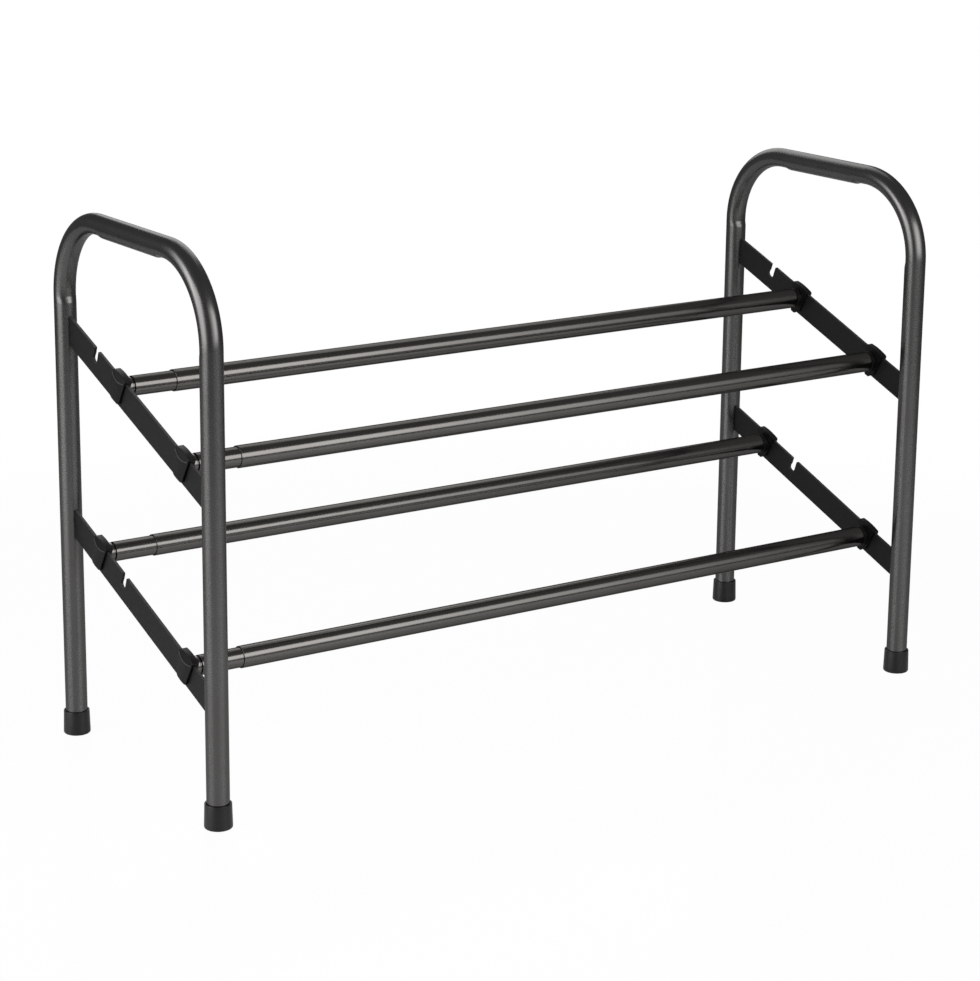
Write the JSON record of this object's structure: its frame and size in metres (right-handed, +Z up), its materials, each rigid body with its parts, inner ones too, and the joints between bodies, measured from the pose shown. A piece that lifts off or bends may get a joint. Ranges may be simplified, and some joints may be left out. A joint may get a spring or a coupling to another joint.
{
  "type": "pull out shoe rack",
  "caption": "Two-tier extending shoe rack: bent-tube end hoops, sloping notched rails and telescopic rods held by drop-in end clips.",
  "frame": {"origin": "on the floor, in the middle of the closed rack's footprint", "axes": "+X along the rods from the left end frame to the right one, +Y to the rear (the high side of the tiers), +Z up"},
  "size_m": [0.6268, 0.2378, 0.395],
  "materials": {
    "hoop_paint": "satin gun-metal grey powder coat",
    "rail_paint": "matte black powder coat",
    "rod_paint": "satin dark grey coat",
    "clip_plastic": "moulded satin black",
    "foot_rubber": "moulded matte black"
  },
  "bodies": {
    "left_frame": {"left_hoop": "hoop_paint", "left_upper_rail": "rail_paint", "left_lower_rail": "rail_paint", "left_front_foot": "foot_rubber", "left_rear_foot": "foot_rubber"},
    "right_frame": {"right_hoop": "hoop_paint", "right_upper_rail": "rail_paint", "right_lower_rail": "rail_paint", "right_front_foot": "foot_rubber", "right_rear_foot": "foot_rubber"},
    "upper_front_inner_rod": {"upper_front_inner_tube": "rod_paint", "upper_front_left_clip": "clip_plastic"},
    "upper_front_outer_rod": {"upper_front_outer_tube": "rod_paint", "upper_front_right_clip": "clip_plastic"},
    "upper_rear_inner_rod": {"upper_rear_inner_tube": "rod_paint", "upper_rear_left_clip": "clip_plastic"},
    "upper_rear_outer_rod": {"upper_rear_outer_tube": "rod_paint", "upper_rear_right_clip": "clip_plastic"},
    "lower_front_inner_rod": {"lower_front_inner_tube": "rod_paint", "lower_front_left_clip": "clip_plastic"},
    "lower_front_outer_rod": {"lower_front_outer_tube": "rod_paint", "lower_front_right_clip": "clip_plastic"},
    "lower_rear_inner_rod": {"lower_rear_inner_tube": "rod_paint", "lower_rear_left_clip": "clip_plastic"},
    "lower_rear_outer_rod": {"lower_rear_outer_tube": "rod_paint", "lower_rear_right_clip": "clip_plastic"}
  },
  "joints": [
    {"name": "pull_out", "type": "slide", "parent": "left_frame", "child": "right_frame", "axis": [1, 0, 0], "range_m": [-0.01, 0.46]},
    {"name": "upper_front_left_lift", "type": "slide", "parent": "left_frame", "child": "upper_front_inner_rod", "axis": [0, -0.3518, 0.9361], "range_m": [0, 0.02]},
    {"name": "upper_front_right_lift", "type": "slide", "parent": "right_frame", "child": "upper_front_outer_rod", "axis": [0, -0.3518, 0.9361], "range_m": [0, 0.02]},
    {"name": "upper_rear_left_lift", "type": "slide", "parent": "left_frame", "child": "upper_rear_inner_rod", "axis": [0, -0.3518, 0.9361], "range_m": [0, 0.02]},
    {"name": "upper_rear_right_lift", "type": "slide", "parent": "right_frame", "child": "upper_rear_outer_rod", "axis": [0, -0.3518, 0.9361], "range_m": [0, 0.02]},
    {"name": "lower_front_left_lift", "type": "slide", "parent": "left_frame", "child": "lower_front_inner_rod", "axis": [0, -0.3518, 0.9361], "range_m": [0, 0.02]},
    {"name": "lower_front_right_lift", "type": "slide", "parent": "right_frame", "child": "lower_front_outer_rod", "axis": [0, -0.3518, 0.9361], "range_m": [0, 0.02]},
    {"name": "lower_rear_left_lift", "type": "slide", "parent": "left_frame", "child": "lower_rear_inner_rod", "axis": [0, -0.3518, 0.9361], "range_m": [0, 0.02]},
    {"name": "lower_rear_right_lift", "type": "slide", "parent": "right_frame", "child": "lower_rear_outer_rod", "axis": [0, -0.3518, 0.9361], "range_m": [0, 0.02]}
  ],
  "couplings": [
    {"joint": "upper_front_right_lift", "follows": "upper_front_left_lift", "ratio": 1},
    {"joint": "upper_rear_right_lift", "follows": "upper_rear_left_lift", "ratio": 1},
    {"joint": "lower_front_right_lift", "follows": "lower_front_left_lift", "ratio": 1},
    {"joint": "lower_rear_right_lift", "follows": "lower_rear_left_lift", "ratio": 1}
  ]
}
